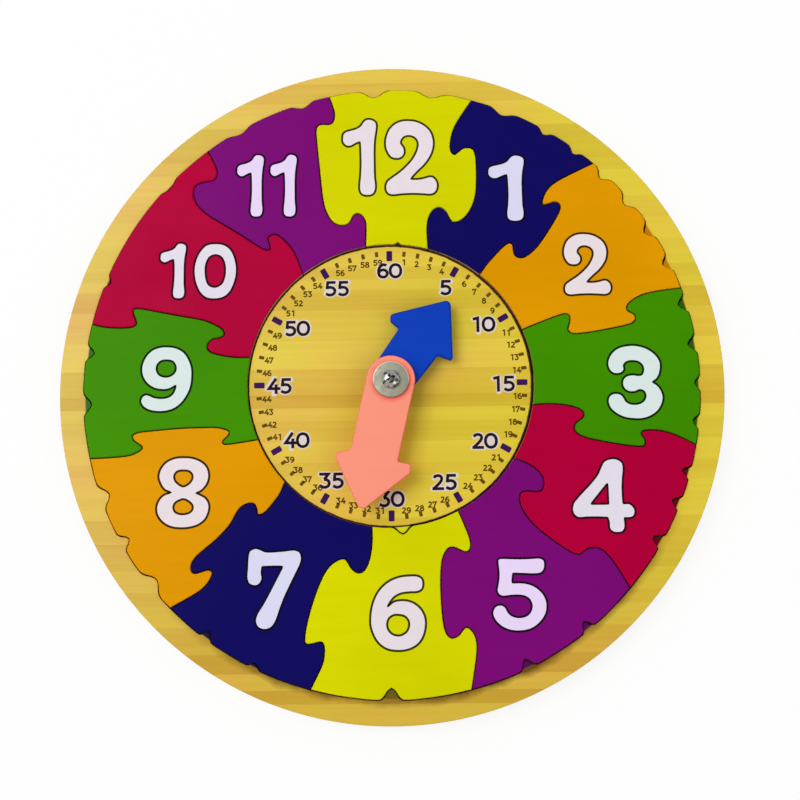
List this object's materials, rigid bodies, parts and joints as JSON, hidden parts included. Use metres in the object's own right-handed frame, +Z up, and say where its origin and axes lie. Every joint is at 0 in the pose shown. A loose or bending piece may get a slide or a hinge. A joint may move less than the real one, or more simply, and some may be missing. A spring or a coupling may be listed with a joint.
{
  "type": "wooden clock puzzle",
  "caption": "Round wooden clock puzzle with a dial, two free turning arrow hands on a centre screw and painted interlocking hour pieces that lift out of a rimmed tray.",
  "frame": {"origin": "centre of the back board's underside", "axes": "+Z up out of the face, +Y towards 12 o'clock, +X towards 3 o'clock"},
  "size_m": [0.3, 0.3, 0.0277],
  "materials": {
    "back_wood": "plain plywood",
    "varnished_wood": "clear gloss varnish",
    "paint_yellow": "gloss paint on wood",
    "paint_navy": "gloss paint on wood",
    "paint_orange": "gloss paint on wood",
    "paint_green": "gloss paint on wood",
    "paint_red": "gloss paint on wood",
    "paint_purple": "gloss paint on wood",
    "blue_paint": "satin paint on wood",
    "coral_paint": "matt paint on wood",
    "zinc_steel": "satin zinc plate",
    "bright_steel": "bright zinc plate",
    "black_plastic": "moulded"
  },
  "bodies": {
    "board": {"back_board": "back_wood", "rim_ring": "varnished_wood", "dial_disc": "varnished_wood", "dial_spacer": "black_plastic", "hand_washer": "zinc_steel", "front_washer": "zinc_steel", "rear_washer": "zinc_steel", "lock_nut": "zinc_steel", "centre_screw": "bright_steel"},
    "hour_hand": {"hour_hand": "blue_paint"},
    "minute_hand": {"minute_hand": "coral_paint"},
    "hour_piece_01": {"hour_piece_01": "paint_navy"},
    "hour_piece_02": {"hour_piece_02": "paint_orange"},
    "hour_piece_03": {"hour_piece_03": "paint_green"},
    "hour_piece_04": {"hour_piece_04": "paint_red"},
    "hour_piece_05": {"hour_piece_05": "paint_purple"},
    "hour_piece_06": {"hour_piece_06": "paint_yellow"},
    "hour_piece_07": {"hour_piece_07": "paint_navy"},
    "hour_piece_08": {"hour_piece_08": "paint_orange"},
    "hour_piece_09": {"hour_piece_09": "paint_green"},
    "hour_piece_10": {"hour_piece_10": "paint_red"},
    "hour_piece_11": {"hour_piece_11": "paint_purple"},
    "hour_piece_12": {"hour_piece_12": "paint_yellow"}
  },
  "joints": [
    {"name": "hour_hand_turn", "type": "hinge", "parent": "board", "child": "hour_hand", "pos_m": [0.00055, 0, 0.0169], "axis": [0, 0, 1], "continuous": true},
    {"name": "minute_hand_turn", "type": "hinge", "parent": "board", "child": "minute_hand", "pos_m": [0.00055, 0, 0.022], "axis": [0, 0, 1], "continuous": true},
    {"name": "lift_01", "type": "slide", "parent": "board", "child": "hour_piece_01", "axis": [0, 0, 1], "range_m": [0, 0.03]},
    {"name": "lift_02", "type": "slide", "parent": "board", "child": "hour_piece_02", "axis": [0, 0, 1], "range_m": [0, 0.03]},
    {"name": "lift_03", "type": "slide", "parent": "board", "child": "hour_piece_03", "axis": [0, 0, 1], "range_m": [0, 0.03]},
    {"name": "lift_04", "type": "slide", "parent": "board", "child": "hour_piece_04", "axis": [0, 0, 1], "range_m": [0, 0.03]},
    {"name": "lift_05", "type": "slide", "parent": "board", "child": "hour_piece_05", "axis": [0, 0, 1], "range_m": [0, 0.03]},
    {"name": "lift_06", "type": "slide", "parent": "board", "child": "hour_piece_06", "axis": [0, 0, 1], "range_m": [0, 0.03]},
    {"name": "lift_07", "type": "slide", "parent": "board", "child": "hour_piece_07", "axis": [0, 0, 1], "range_m": [0, 0.03]},
    {"name": "lift_08", "type": "slide", "parent": "board", "child": "hour_piece_08", "axis": [0, 0, 1], "range_m": [0, 0.03]},
    {"name": "lift_09", "type": "slide", "parent": "board", "child": "hour_piece_09", "axis": [0, 0, 1], "range_m": [0, 0.03]},
    {"name": "lift_10", "type": "slide", "parent": "board", "child": "hour_piece_10", "axis": [0, 0, 1], "range_m": [0, 0.03]},
    {"name": "lift_11", "type": "slide", "parent": "board", "child": "hour_piece_11", "axis": [0, 0, 1], "range_m": [0, 0.03]},
    {"name": "lift_12", "type": "slide", "parent": "board", "child": "hour_piece_12", "axis": [0, 0, 1], "range_m": [0, 0.03]}
  ]
}
